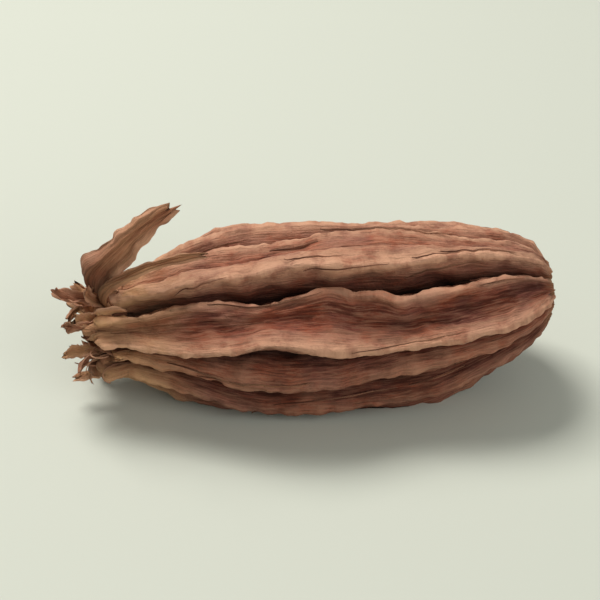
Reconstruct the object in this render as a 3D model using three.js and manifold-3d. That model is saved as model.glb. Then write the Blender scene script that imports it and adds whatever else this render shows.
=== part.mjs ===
// A dried black cardamom pod lying on its side. It grew as one piece: a ribbed, folded husk
// with the frayed remains of its calyx at one end and a puckered stem scar at the other.
// Millimetres, +Z up. +X runs from the calyx to the stem end, and -Y is the side that shows best.
// The origin is on the small flat spot that the pod rests on, so the surface it lies on is z = 0.

import * as THREE from "three";
import { mergeVertices } from "three/addons/utils/BufferGeometryUtils.js";
import Module from "manifold-3d";

// Driving dimensions of the husk
const huskLength = 29.5;
const huskRadius = 5.5; // between the ribs, where the husk is thickest
const huskMiddleX = 2.2; // the calyx takes up the room on the other side of the origin
const huskHeightShare = 0.97; // the section is a little lower than it is wide
const calyxEndBluntness = 0.75; // the power of the end's profile: 1 is an ellipse, less is blunter
const stemEndBluntness = 0.66;
const threeSidedness = 0.05; // a capsule of three chambers is a little three-sided
const threeSidedTurn = 54; // degrees from the top to one of the three sides
// The scar of the stalk: a hollow inside a raised rim, and a share of the full thickness within which
// the ribs fade out round it
const scarHollow = { depth: 0.5, radius: 0.9 };
const scarRim = { height: 0.3, radius: 1.5, width: 0.5 };
const scarFade = 0.5;

// How the husk bends: both ends curve up from the middle, and it sways a little to the side
const bendMiddle = 0.4; // the share of the length from the calyx end that lies lowest
const stemRise = 2.0;
const stemRisePower = 2.2;
const calyxRise = 0.5;
const calyxRisePower = 2;
const sideBend = { size: 0.4, waves: 0.55, shift: 0.6 };

// The flat spot: how far the husk's underside is worn away, and where its ribs are pressed flat
const restDepth = 0.45;
const restHalfAngle = 34; // degrees either side of straight down where the ribs are at full height
const restFlatAngle = 14; // and where they are lowest
const restRelief = 0.2; // the share of a rib's height that is left there

// The calyx: a ragged cup of dry skin on the husk's end. Each ring of it has a place, as a share of
// the neck's length, and a radius: from the cup's bottom over the torn rim and back down outside.
const neckRadius = 2.9;
const neckLength = 1.4;
const neckPolar = 0.1; // where the neck begins, in radians from the pole of the husk's globe
const shoulderPower = 4; // how sharply the neck turns into the husk's shoulder
const shoulderReach = 0.3; // the share of the husk's length in which the neck fades out
const mouthProfile = [
  { share: -0.45, radius: 0.5 },
  { share: -0.2, radius: 1.5 },
  { share: 0.5, radius: 2.0 },
  { share: 1, radius: 2.15 },
  { share: 1, radius: 3.0 },
  { share: 0.4, radius: neckRadius },
];
const mouthRelief = 0.9; // the ribs are a little lower on the neck than on the husk
// How the rim is torn: tears counted round it, and their size as a share of the neck's length
const rimTears = [
  { count: 5, size: 0.45, shift: 0 },
  { count: 13, size: 0.25, shift: 1 },
];

// The torn tongues on the rim, with their angles in degrees: flare leans a tongue outwards, curl
// bends it further towards its tip, and twist turns it on edge. turnedBy is the share of its length
// by which it has its whole flare and twist.
const tongueCount = 14;
const tongueLength = { least: 1.2, most: 3.8 };
const tongueWidth = { least: 0.9, most: 2.1 };
const tongueFlare = { least: -30, most: 50 };
const tongueCurl = { least: -130, most: 140 };
const tongueTwist = { least: -70, most: 70 };
const tongueUnevenness = 0.5; // how far a tongue strays from its even place, as a share of the gap
const tongueThickness = 0.65;
const tongueTurnedBy = 0.55;
const tongueRoot = 1.7; // how far a tongue is sunk into the neck
const tongueRootRadius = 2.45; // in the middle of the neck's wall
const tongueTaper = { tip: 0.4, power: 1.3 }; // the tip's width as a share of the root's
const tongueWobble = { size: 0.25, rate: 6 };
const tongueSteps = 8;
// The long torn flap that curls back over the husk's shoulder
const flap = {
  around: 4,
  length: 9.5,
  width: 3.2,
  flare: 128,
  curl: 20,
  twist: 62,
  turnedBy: 0.36,
  thickness: 0.75,
  steps: 13,
};

// The grid of the husk
const bodyRows = 56;
const stepsPerFlank = 3; // columns from a crest to the furrow beside it
const finestDetail = 0.02; // smaller edges and flatter corners than this are merged away

// Every rib, from just behind the top round over the front. angle is degrees from the top, height
// is how far the crest stands out, and lean is how far it hangs over, downwards on the front.
// furrow is the depth of the furrow after it: below 0 it is only a crease high on a broad fold.
// before and after shape the two flanks, small for a full fold and large for a thin fin, and edge is
// 1 for a round crest and less for a sharp one. undercut moves the furrow back under the fold, in
// degrees. wave is how far the crest sways, and fade is the share of its height that comes and goes.
const ribFields = [
  "angle",
  "height",
  "lean",
  "furrow",
  "before",
  "after",
  "edge",
  "undercut",
  "wave",
  "fade",
];
const ribs = [
  [-30, 1.7, -0.2, 0.3, 1.1, 1.3, 0.7, 0, 0.45, 0.3],
  [-5, 1.5, 0.1, -1.2, 0.8, 0.8, 0.8, 0, 0.5, 0.2],
  [17, 1.9, 0.8, 2.1, 0.3, 1.8, 0.9, 3, 0.6, 0.15],
  [39, 0.9, -0.3, 0, 1.9, 1, 0.6, 0, 0.5, 0.35],
  [66, 1.9, 0.3, 1.2, 0.9, 1.3, 0.6, 5, 0.45, 0.2],
  [93, 0.5, 0.3, 0.4, 0.7, 0.9, 0.9, 0, 0.5, 0.6],
  [119, 1.3, 0, 0.4, 0.9, 1, 0.7, 0, 0.45, 0.3],
  [148, 1.1, 0, 0.3, 1, 1, 0.9, 0, 0.3, 0.2],
  [176, 1.2, 0, 0.3, 1, 1, 0.9, 0, 0.3, 0.2],
  [203, 1.5, 0.1, 0.8, 1.1, 0.7, 0.65, 0, 0.45, 0.25],
  [229, 1.1, -0.3, -0.2, 0.8, 0.7, 0.8, 0, 0.5, 0.6],
  [254, 2, -0.5, 0.9, 0.4, 1.3, 0.7, 0, 0.55, 0.15],
  [280, 0.9, 0.3, -0.1, 0.9, 0.8, 0.75, 0, 0.45, 0.5],
  [304, 1.8, 0.8, 1.1, 0.4, 1.3, 0.7, 5, 0.55, 0.15],
].map((values) => Object.fromEntries(ribFields.map((field, k) => [field, values[k]])));

// The uneven waves along a rib: how many bends from end to end, and their size. The sway is in
// degrees. The crest's own waves are counted in its pace, which is drawn for each rib, and are shares
// of its wave, as those of the height are of its fade.
const swayWaves = [
  { bends: 2.3, size: 4.5 },
  { bends: 6.1, size: 1.8 },
];
const crestPace = { least: 5.0, most: 7.6 };
const crestWaves = [
  { bends: 1, size: 1 },
  { bends: 2.7, size: 0.4 },
];
const heightWaves = [
  { bends: 3.1, size: 1 },
  { bends: 8.7, size: 0.45 },
];
const furrowWaves = [{ bends: 3.3, size: 0.35 }];
const creased = 0.45; // how much of an uneven wave is straight between its bends
const overhangFade = 0.09; // the share of the length, at each end, over which folds stop hanging over
// Broad dents: their size, and how many radians they turn through for one radian round and end to end
const dents = [
  { size: 0.2, around: 3, along: -9 },
  { size: 0.2, around: 2, along: 14 },
];
// What keeps the draws of one rib, and of one wave of it, apart from the next one's
const ribSeed = 61;
const waveSeed = 17;
const seeds = { sway: 3, height: 5, crest: 7, furrow: 11 };

const degree = Math.PI / 180;
const turn = 2 * Math.PI;
const mix = (a, b, share) => a + (b - a) * share;
const total = (numbers) => numbers.reduce((sum, number) => sum + number, 0);
const smoothStep = THREE.MathUtils.smoothstep;

// A number from 0 to 1 that is always the same for the same seed.
function chance(seed) {
  const big = Math.sin(seed * 12.9898) * 43758.5453;
  return big - Math.floor(big);
}

const drawn = (range, seed) => mix(range.least, range.most, chance(seed));

// An uneven wave from -1 to 1: a height is drawn at each whole number, and between two of them it
// goes partly straight and partly as an S-curve, so that it has the bends of a crumpled edge.
function wander(x, seed) {
  const start = Math.floor(x);
  const share = x - start;
  const [here, there] = [start, start + 1].map((at) => 2 * chance(at + seed) - 1);
  return mix(here, there, mix(smoothStep(share, 0, 1), share, creased));
}

// The sum of some uneven waves.
function uneven(parts, along, seed) {
  return total(parts.map(({ bends, size }, k) => size * wander(bends * along, seed + waveSeed * k)));
}

// A rib's crest at a share of the husk's length: its angle in degrees and how far it stands out.
function crestAt(index, along) {
  const number = index % ribs.length;
  const rib = ribs[number];
  const seed = ribSeed * number;
  const clear = smoothStep(along, 0, overhangFade) * smoothStep(1 - along, 0, overhangFade);
  const waves = uneven(crestWaves, drawn(crestPace, number) * along, seed + seeds.crest);
  const sideways = clear * (rib.lean + rib.wave * waves);
  const fromTop = rib.angle + uneven(swayWaves, along, seed + seeds.sway);
  return {
    angle: 360 * Math.floor(index / ribs.length) + fromTop + sideways / (huskRadius + rib.height) / degree,
    height: rib.height * (1 + rib.fade * uneven(heightWaves, along, seed + seeds.height)),
    undercut: clear * rib.undercut,
  };
}

// How flat the husk's skin is pressed at an angle: 1 far from the underside, restRelief at the bottom.
function reliefAt(angle) {
  const fromBelow = Math.abs(THREE.MathUtils.euclideanModulo(angle, 360) - 180);
  return mix(restRelief, 1, smoothStep(fromBelow, restFlatAngle, restHalfAngle));
}

// The skin's section: column counts ribs, so a whole number is a crest and a half is a furrow.
// round is the husk without its ribs and relief is how far the skin stands out from that.
function sectionAt(column, along) {
  const index = Math.floor(column);
  const share = column - index;
  const rib = ribs[index % ribs.length];
  const next = ribs[(index + 1) % ribs.length];
  const crest = crestAt(index, along);
  const nextCrest = crestAt(index + 1, along);
  const furrowSeed = ribSeed * (index % ribs.length) + seeds.furrow;
  const furrowDepth = rib.furrow * (1 + uneven(furrowWaves, along, furrowSeed));
  const furrowAngle = (crest.angle + nextCrest.angle) / 2 - crest.undercut;
  const isAfter = share < 0.5;
  const nearest = isAfter ? crest : nextCrest;
  const power = isAfter ? rib.after : next.before;
  const fromCrest = isAfter ? 2 * share : 2 * (1 - share);
  const edge = isAfter ? rib.edge : next.edge;
  const flank = ((1 + Math.cos(Math.PI * fromCrest ** edge)) / 2) ** power;
  const angle = mix(nearest.angle, furrowAngle, fromCrest);
  const relief = mix(-furrowDepth, nearest.height, flank) * reliefAt(angle);
  const sides = 1 + threeSidedness * Math.cos(3 * (angle - threeSidedTurn) * degree);
  const dented = dents.map((dent) => dent.size * Math.sin(dent.around * angle * degree + dent.along * along));
  return { angle, round: huskRadius * sides + total(dented), relief };
}

// The middle of the husk at a share of its length.
function axisAt(along) {
  const toStem = Math.max(0, along - bendMiddle) / (1 - bendMiddle);
  const toCalyx = Math.max(0, bendMiddle - along) / bendMiddle;
  const lowest = huskRadius * huskHeightShare * (1 - threeSidedness);
  return new THREE.Vector3(
    huskMiddleX + (along - 0.5) * huskLength,
    sideBend.size * Math.sin(turn * sideBend.waves * along + sideBend.shift),
    lowest + stemRise * toStem ** stemRisePower + calyxRise * toCalyx ** calyxRisePower,
  );
}

// A point of the skin at a distance from the axis, in the way that its angle gives.
function skinPoint(along, angle, reach, out = 0) {
  const point = axisAt(along);
  point.x -= out;
  point.y -= reach * Math.sin(angle * degree);
  point.z += reach * Math.cos(angle * degree) * huskHeightShare;
  return point;
}

// The swelling body: polar runs from the neck to pi at the stem end, as on a globe.
function bodyPoint(polar, column) {
  const along = (1 - Math.cos(polar)) / 2;
  const bluntness = mix(calyxEndBluntness, stemEndBluntness, polar / Math.PI);
  const swell = Math.sin(polar) ** bluntness;
  const neck = (neckRadius / huskRadius) * (1 - smoothStep(along, 0, shoulderReach));
  const thickness = (swell ** shoulderPower + neck ** shoulderPower) ** (1 / shoulderPower);
  const { angle, round, relief } = sectionAt(column, along);
  if (along < 0.5) return skinPoint(along, angle, (round + relief) * thickness);
  const reach = (round + relief * smoothStep(swell, 0, scarFade)) * thickness;
  const hollow = scarHollow.depth * Math.exp(-((reach / scarHollow.radius) ** 2));
  const rim = scarRim.height * Math.exp(-(((reach - scarRim.radius) / scarRim.width) ** 2));
  return skinPoint(along, angle, reach, hollow - rim);
}

// The neck's length at a column, where the rim is torn.
function neckLengthAt(column) {
  const round = (turn * column) / ribs.length;
  const torn = rimTears.map((tear) => tear.size * Math.sin(tear.count * round + tear.shift));
  return neckLength * (1 + total(torn));
}

function mouthRings(columns) {
  return mouthProfile.map(({ share, radius }) =>
    columns.map((column) => {
      const { angle, relief } = sectionAt(column, 0);
      const ribbed = radius * (1 + (mouthRelief * relief) / huskRadius);
      return skinPoint(0, angle, ribbed, share * neckLengthAt(column));
    }),
  );
}

// A closed body through rings of points, each ring running anticlockwise about the way the rings go.
function loft(rings) {
  const size = rings[0].length;
  const centre = (ring) =>
    ring.reduce((sum, point) => sum.add(point), new THREE.Vector3()).multiplyScalar(1 / size);
  const points = [...rings.flat(), centre(rings[0]), centre(rings.at(-1))];
  const faces = [];
  const last = (rings.length - 1) * size;
  for (let k = 0; k < size; k++) {
    const next = (k + 1) % size;
    for (let start = 0; start < last; start += size) {
      faces.push(start + k, start + next, start + size + k);
      faces.push(start + next, start + size + next, start + size + k);
    }
    faces.push(points.length - 2, next, k);
    faces.push(points.length - 1, last + k, last + next);
  }
  return new THREE.BufferGeometry().setFromPoints(points).setIndex(faces);
}

function huskGeometry() {
  const columns = Array.from({ length: ribs.length * 2 * stepsPerFlank }, (_, k) => k / (2 * stepsPerFlank));
  const rings = mouthRings(columns);
  for (let row = 0; row < bodyRows; row++) {
    const polar = mix(neckPolar, Math.PI, row / bodyRows);
    rings.push(columns.map((column) => bodyPoint(polar, column)));
  }
  for (const point of rings.flat()) point.z = Math.max(point.z, restDepth);
  return loft(rings);
}

// A torn tongue of dry skin, from its root inside the neck's wall to its tip.
function tongue({ around, length, width, flare, curl, twist, turnedBy, thickness, steps }) {
  const outwards = new THREE.Vector3(0, -Math.sin(around * degree), Math.cos(around * degree));
  const sideways = new THREE.Vector3(0, -outwards.z, outwards.y);
  const point = axisAt(0).addScaledVector(outwards, tongueRootRadius);
  point.x -= neckLength - tongueRoot;
  const rings = [];
  for (let step = 0; step <= steps; step++) {
    const share = step / steps;
    const turned = Math.min(1, share / turnedBy);
    const lift = (flare * turned + curl * share ** 2) * degree;
    const way = outwards.clone().multiplyScalar(Math.sin(lift));
    way.x = -Math.cos(lift);
    const across = sideways.clone().applyAxisAngle(way, twist * turned * degree);
    const through = new THREE.Vector3().crossVectors(way, across);
    const halfWidth = (width / 2) * mix(1, tongueTaper.tip, share ** tongueTaper.power);
    const wobble = tongueWobble.size * Math.sin(tongueWobble.rate * share + around);
    const corner = (right, up) =>
      point
        .clone()
        .addScaledVector(across, right * halfWidth + wobble)
        .addScaledVector(through, (up * thickness) / 2);
    rings.push([corner(-1, 0), corner(0, -1), corner(1, 0), corner(0, 1)]);
    point.addScaledVector(way, (length + tongueRoot) / steps);
  }
  return loft(rings);
}

function calyxTongues() {
  const torn = Array.from({ length: tongueCount }, (_, k) =>
    tongue({
      around: (360 * (k + tongueUnevenness * (chance(k) - 0.5))) / tongueCount,
      length: drawn(tongueLength, k + 20),
      width: drawn(tongueWidth, k + 40),
      flare: drawn(tongueFlare, k + 60),
      curl: drawn(tongueCurl, k + 80),
      twist: drawn(tongueTwist, k + 100),
      turnedBy: tongueTurnedBy,
      thickness: tongueThickness,
      steps: tongueSteps,
    }),
  );
  return [...torn, tongue(flap)];
}

const wasm = await Module();
wasm.setup();

// A three.js geometry as a solid that can be joined to others.
function solidFrom(geometry) {
  const bare = geometry.clone();
  bare.deleteAttribute("normal");
  bare.deleteAttribute("uv");
  const merged = mergeVertices(bare, 1e-4);
  return new wasm.Manifold(
    new wasm.Mesh({
      numProp: 3,
      vertProperties: merged.attributes.position.array,
      triVerts: new Uint32Array(merged.index.array),
    }),
  );
}

function geometryFrom(solid) {
  const mesh = solid.getMesh();
  const geometry = new THREE.BufferGeometry();
  geometry.setAttribute("position", new THREE.BufferAttribute(new Float32Array(mesh.vertProperties), 3));
  geometry.setIndex(new THREE.BufferAttribute(mesh.triVerts, 1));
  geometry.computeVertexNormals();
  return geometry;
}

const joined = [huskGeometry(), ...calyxTongues()].map(solidFrom).reduce((all, piece) => all.add(piece));
const podSolid = joined.simplify(finestDetail).translate([0, 0, -restDepth]);

const podMaterial = new THREE.MeshStandardMaterial({ color: 0x7a4f3c, roughness: 0.8, metalness: 0 });
const pod = new THREE.Mesh(geometryFrom(podSolid), podMaterial);
pod.name = "pod";

const cardamom = new THREE.Group();
cardamom.add(pod);

export default cardamom;
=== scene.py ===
# %% [markdown]
# A dried black cardamom pod
# The pod is the fruit of a large ginger plant, picked and dried over smoke. The thick wet skin
# shrinks to a hard husk with ribs, folds and furrows that run from the frayed calyx at one end to
# the scar of the stalk at the other. This lesson builds it as surfaces worked out with numpy and
# gives them dry, fibrous finishes. The imported solid model is loaded first, and its box is kept.

# %% Load the solid model and keep its box
import bpy
import numpy as np
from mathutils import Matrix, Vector


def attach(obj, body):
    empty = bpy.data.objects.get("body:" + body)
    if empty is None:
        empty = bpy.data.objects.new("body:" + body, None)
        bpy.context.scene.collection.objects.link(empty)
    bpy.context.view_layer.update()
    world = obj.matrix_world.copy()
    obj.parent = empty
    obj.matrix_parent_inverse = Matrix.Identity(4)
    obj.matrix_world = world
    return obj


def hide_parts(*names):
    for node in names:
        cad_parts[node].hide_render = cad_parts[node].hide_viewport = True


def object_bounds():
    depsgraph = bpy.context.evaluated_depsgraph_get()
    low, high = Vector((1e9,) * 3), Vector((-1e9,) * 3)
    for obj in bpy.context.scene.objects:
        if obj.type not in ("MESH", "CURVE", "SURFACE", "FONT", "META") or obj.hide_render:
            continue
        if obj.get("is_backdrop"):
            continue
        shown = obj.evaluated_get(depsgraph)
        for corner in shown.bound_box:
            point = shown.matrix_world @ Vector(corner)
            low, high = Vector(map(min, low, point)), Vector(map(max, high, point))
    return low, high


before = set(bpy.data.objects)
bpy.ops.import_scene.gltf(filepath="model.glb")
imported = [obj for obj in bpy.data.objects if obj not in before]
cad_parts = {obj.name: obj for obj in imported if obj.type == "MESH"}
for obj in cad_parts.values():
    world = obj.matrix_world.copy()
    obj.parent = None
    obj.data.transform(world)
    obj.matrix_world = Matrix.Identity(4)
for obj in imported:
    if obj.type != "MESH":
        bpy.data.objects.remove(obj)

cad_low, cad_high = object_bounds()
print("solid model, mm:", [round(1000 * side, 1) for side in (cad_high - cad_low)])

# %% [markdown]
# Numbers that look random but never change
# A dried husk is uneven everywhere, yet a script has to give the same pod each time. A real random
# generator with a seed would do, but then one more draw anywhere changes all that follow. So every
# uneven length and angle here is looked up by its own number, with the fraction of a large sine.

# %% Small helpers for shapes
MM = 0.001
DEGREE = np.pi / 180
TURN = 2 * np.pi


def mix(first, second, share):
    """The value that lies a share of the way from the first to the second."""
    return first + (second - first) * share


def smooth_step(value, low, high):
    """0 below low, 1 above high, and in between the S-shaped curve 3 t^2 - 2 t^3."""
    t = np.clip((value - low) / (high - low), 0, 1)
    return t * t * (3 - 2 * t)


def chance(seed):
    """A number from 0 to 1 for each seed: what is left behind the point of a large sine."""
    big = np.sin(np.asarray(seed) * 12.9898) * 43758.5453
    return big - np.floor(big)


def drawn(least_most, seed):
    """A number between two limits, always the same for the same seed."""
    return mix(*least_most, chance(seed))


CREASED = 0.45  # how much of an uneven wave is straight between its bends


def wander(x, seed):
    """An uneven wave from -1 to 1: a height is drawn at each whole number, and between two of them it
    goes partly straight and partly as an S-curve, so it has the bends of a crumpled edge."""
    start = np.floor(x)
    share = x - start
    here, there = 2 * chance(start + seed) - 1, 2 * chance(start + 1 + seed) - 1
    return mix(here, there, mix(smooth_step(share, 0, 1), share, CREASED))


# %% [markdown]
# The ribs
# The wet skin is longer round the pod than the dried one, so it buckles into ribs. Each has its own
# character: some are rounded folds that hang over a deep furrow, some are thin fins with a wavy rim.
# They could be sculpted by hand. Here they are rows of a table instead, the same as in the solid
# model, so that the fine skin lies exactly over it and each rib can be read and changed by itself.

# %% The table of ribs, from the top of the pod round over its front, in degrees and millimetres
# Columns: angle from the top, height, lean over to the side, depth of the furrow after it (below 0 it
# is only a crease high on a broad fold), power of the flank before and after (small is a full fold,
# large a thin fin), edge (1 is a round crest, less a sharp one), undercut of the furrow in degrees,
# how far the crest sways, and the share of its height that comes and goes.
RIBS = np.array([
    (-30, 1.7, -0.2, 0.3, 1.1, 1.3, 0.7, 0, 0.45, 0.3),
    (-5, 1.5, 0.1, -1.2, 0.8, 0.8, 0.8, 0, 0.5, 0.2),
    (17, 1.9, 0.8, 2.1, 0.3, 1.8, 0.9, 3, 0.6, 0.15),
    (39, 0.9, -0.3, 0, 1.9, 1, 0.6, 0, 0.5, 0.35),
    (66, 1.9, 0.3, 1.2, 0.9, 1.3, 0.6, 5, 0.45, 0.2),
    (93, 0.5, 0.3, 0.4, 0.7, 0.9, 0.9, 0, 0.5, 0.6),
    (119, 1.3, 0, 0.4, 0.9, 1, 0.7, 0, 0.45, 0.3),
    (148, 1.1, 0, 0.3, 1, 1, 0.9, 0, 0.3, 0.2),
    (176, 1.2, 0, 0.3, 1, 1, 0.9, 0, 0.3, 0.2),
    (203, 1.5, 0.1, 0.8, 1.1, 0.7, 0.65, 0, 0.45, 0.25),
    (229, 1.1, -0.3, -0.2, 0.8, 0.7, 0.8, 0, 0.5, 0.6),
    (254, 2, -0.5, 0.9, 0.4, 1.3, 0.7, 0, 0.55, 0.15),
    (280, 0.9, 0.3, -0.1, 0.9, 0.8, 0.75, 0, 0.45, 0.5),
    (304, 1.8, 0.8, 1.1, 0.4, 1.3, 0.7, 5, 0.55, 0.15),
])
ANGLE, HEIGHT, LEAN, FURROW, BEFORE, AFTER, EDGE, UNDERCUT, WAVE, FADE = RIBS.T
RIB_COUNT = len(RIBS)
print("ribs:", RIB_COUNT)

# %% How a rib wanders along the pod
SWAY_WAVES = ((2.3, 4.5), (6.1, 1.8))  # bends from end to end, and size in degrees
CREST_PACE = (5.0, 7.6)  # bends of a crest from end to end
CREST_WAVES = ((1, 1), (2.7, 0.4))  # for each bend of its own, and size as a share of its sway
HEIGHT_WAVES = ((3.1, 1), (8.7, 0.45))
RIB_SEED, WAVE_SEED = 61, 17
OVERHANG_FADE = 0.09  # the share of the length, at each end, in which leans and undercuts fade out
HUSK_RADIUS = 5.5  # without its ribs


def uneven(parts, along, seed):
    """The sum of some uneven waves, each of its own size and number of bends."""
    return sum(size * wander(bends * along, seed + WAVE_SEED * k) for k, (bends, size) in enumerate(parts))


def crest_at(index, along):
    """A rib's crest: its angle, how far it stands out, and the undercut of the furrow after it.
    The angle is the rib's own, plus a slow sway, plus a shift sideways of its lean and quick waves,
    which is turned into degrees by dividing it by the crest's distance from the axis."""
    number = index % RIB_COUNT
    seed = RIB_SEED * number
    clear = smooth_step(along, 0, OVERHANG_FADE) * smooth_step(1 - along, 0, OVERHANG_FADE)
    waves = uneven(CREST_WAVES, drawn(CREST_PACE, number) * along, seed + 7)
    sideways = clear * (LEAN[number] + WAVE[number] * waves)
    from_top = ANGLE[number] + uneven(SWAY_WAVES, along, seed + 3)
    lap = 360 * (index // RIB_COUNT)
    angle = lap + from_top + sideways / (HUSK_RADIUS + HEIGHT[number]) / DEGREE
    height = HEIGHT[number] * (1 + FADE[number] * uneven(HEIGHT_WAVES, along, seed + 5))
    return angle, height, clear * UNDERCUT[number]


# %% [markdown]
# One section of the husk
# A section is a closed curve, and a rib that hangs over its furrow can't be drawn as a radius for
# each angle, because one angle then has three radii. So the curve has a parameter of its own, the
# column: a whole number is a crest and a half is the bottom of a furrow. Angle and radius both
# follow from it, and the curve is free to turn back under itself.

# %% The section and the axis
FURROW_WAVES = ((3.3, 0.35),)  # bends from end to end, and size as a share of the depth
DENTS = ((0.2, 3, -9), (0.2, 2, 14))  # size, waves round the husk, radians from end to end
THREE_SIDEDNESS = 0.05  # how far the section's three corners stand out, as a share of the radius
THREE_SIDED_TURN = 54  # degrees from the top to the first corner
REST_HALF_ANGLE = 34  # degrees from straight down within which the ribs are worn by lying on them
REST_FLAT_ANGLE = 14  # and within which they are worn the most
REST_RELIEF = 0.2  # the share of their height that is left there


def relief_share(angle):
    """How much of a rib's height is left: all of it, but a small share where the pod rests."""
    from_below = np.abs(np.mod(angle, 360) - 180)
    return mix(REST_RELIEF, 1, smooth_step(from_below, REST_FLAT_ANGLE, REST_HALF_ANGLE))


def section_at(column, along):
    """Angle, round radius, relief, flank and furrow depth for a column. flank falls from 1 on the
    crest to 0 in the furrow, as half of one plus a cosine, raised to the flank's power. The way across
    is raised to the crest's edge first, which makes the crest sharp. The relief goes with the flank
    from the crest's height down to the furrow's depth."""
    index = np.floor(column).astype(int)
    share = column - index
    number = index % RIB_COUNT
    following = (index + 1) % RIB_COUNT
    angle_here, height_here, undercut = crest_at(index, along)
    angle_next, height_next, _ = crest_at(index + 1, along)
    depth = FURROW[number] * (1 + uneven(FURROW_WAVES, along, RIB_SEED * number + 11))
    furrow_angle = (angle_here + angle_next) / 2 - undercut
    is_after = share < 0.5
    power = np.where(is_after, AFTER[number], BEFORE[following])
    from_crest = np.where(is_after, 2 * share, 2 * (1 - share))
    edge = np.where(is_after, EDGE[number], EDGE[following])
    flank = ((1 + np.cos(np.pi * from_crest**edge)) / 2) ** power
    angle = mix(np.where(is_after, angle_here, angle_next), furrow_angle, from_crest)
    relief = mix(-depth, np.where(is_after, height_here, height_next), flank) * relief_share(angle)
    sides = 1 + THREE_SIDEDNESS * np.cos(3 * (angle - THREE_SIDED_TURN) * DEGREE)
    dents = sum(size * np.sin(waves * angle * DEGREE + drift * along) for size, waves, drift in DENTS)
    return angle, HUSK_RADIUS * sides + dents, relief, flank, depth


# %% Where the section sits
HUSK_LENGTH = 29.5
HUSK_MIDDLE_X = 2.2
HUSK_HEIGHT_SHARE = 0.97  # its height as a share of its width
BEND_MIDDLE = 0.4  # the share of the length where its middle is lowest
STEM_RISE, STEM_RISE_POWER = 2.0, 2.2  # how far an end curves up, and how late
CALYX_RISE, CALYX_RISE_POWER = 0.5, 2
SIDE_BEND = (0.4, 0.55, 0.6)  # size, waves from end to end, shift
REST_DEPTH = 0.45  # how much of the underside the flat spot takes off


def axis_at(along):
    """The middle of the husk: straight in x, a slow sine to the side, and both ends curving up."""
    to_stem = np.maximum(0, along - BEND_MIDDLE) / (1 - BEND_MIDDLE)
    to_calyx = np.maximum(0, BEND_MIDDLE - along) / BEND_MIDDLE
    lowest = HUSK_RADIUS * HUSK_HEIGHT_SHARE * (1 - THREE_SIDEDNESS)
    size, waves, shift = SIDE_BEND
    return np.stack([
        HUSK_MIDDLE_X + (along - 0.5) * HUSK_LENGTH,
        size * np.sin(TURN * waves * along + shift),
        lowest + STEM_RISE * to_stem**STEM_RISE_POWER + CALYX_RISE * to_calyx**CALYX_RISE_POWER,
    ], axis=-1)


def skin_point(along, angle, reach, out=0.0):
    """The axis plus the reach in the way of the angle, from straight up round over the front."""
    point = axis_at(along + 0 * reach)  # adding nothing gives along the grid's shape
    point[..., 0] -= out
    point[..., 1] -= reach * np.sin(angle * DEGREE)
    point[..., 2] += reach * np.cos(angle * DEGREE) * HUSK_HEIGHT_SHARE
    return point


# %% [markdown]
# The skin as one grid
# The husk is one closed surface, so it is one grid: its rows start at the bottom of the hollow in
# the calyx, climb over the torn rim, come down the neck, run along the body and close on the stem
# scar. A globe's polar angle places the body's rows, which draws them together at the round ends.

# %% The body of the husk
CALYX_END_BLUNTNESS, STEM_END_BLUNTNESS = 0.75, 0.66  # powers of the sine: a small one is blunt
NECK_RADIUS = 2.9
SHOULDER_POWER = 4  # how sharply the neck turns into the shoulder
SHOULDER_REACH = 0.3  # the share of the length in which the neck fades out
HOLLOW_DEPTH, HOLLOW_RADIUS = 0.5, 0.9  # the stalk's scar: a hollow inside a raised rim
RIM_HEIGHT, RIM_RADIUS, RIM_WIDTH = 0.3, 1.5, 0.5
SCAR_FADE = 0.5  # the share of the full thickness within which the ribs fade out round it


def body_point(polar, column):
    """The swelling body: the sine of the polar angle, raised to the end's bluntness, shrinks each
    section towards the ends. The neck's share is blended into it, by adding the two raised to a power
    and taking the root of the sum. Two bell curves make the scar's hollow and its rim."""
    along = (1 - np.cos(polar)) / 2
    swell = np.sin(polar) ** mix(CALYX_END_BLUNTNESS, STEM_END_BLUNTNESS, polar / np.pi)
    neck = NECK_RADIUS / HUSK_RADIUS * (1 - smooth_step(along, 0, SHOULDER_REACH))
    thickness = (swell**SHOULDER_POWER + neck**SHOULDER_POWER) ** (1 / SHOULDER_POWER)
    angle, even_radius, relief, _, _ = section_at(column, along)
    is_stem_half = along > 0.5
    reach = (even_radius + relief * np.where(is_stem_half, smooth_step(swell, 0, SCAR_FADE), 1)) * thickness
    hollow = HOLLOW_DEPTH * np.exp(-((reach / HOLLOW_RADIUS) ** 2))
    rim = RIM_HEIGHT * np.exp(-(((reach - RIM_RADIUS) / RIM_WIDTH) ** 2))
    return skin_point(along, angle, reach, np.where(is_stem_half, hollow - rim, 0))


# %% The hollow calyx end
NECK_LENGTH = 1.4
MOUTH_RELIEF = 0.9  # how much of the ribs the neck has
# Steps from the bottom of the cup over the rim: the share of the neck's length, and the radius
MOUTH_PROFILE = np.array([(-0.45, 0.5), (-0.2, 1.5), (0.5, 2.0), (1, 2.15), (1, 3.0), (0.4, NECK_RADIUS)])
RIM_TEARS = ((5, 0.45, 0), (13, 0.25, 1))  # tears round the rim, size, shift
FINE_TEARS = ((29, 0.13, 2), (47, 0.08, 0.5))


def neck_length_at(column):
    """The neck's length where the rim is torn: its even length times one plus waves round it."""
    turned = TURN * column / RIB_COUNT
    tears = sum(size * np.sin(count * turned + shift) for count, size, shift in RIM_TEARS + FINE_TEARS)
    return NECK_LENGTH * (1 + tears)


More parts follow.
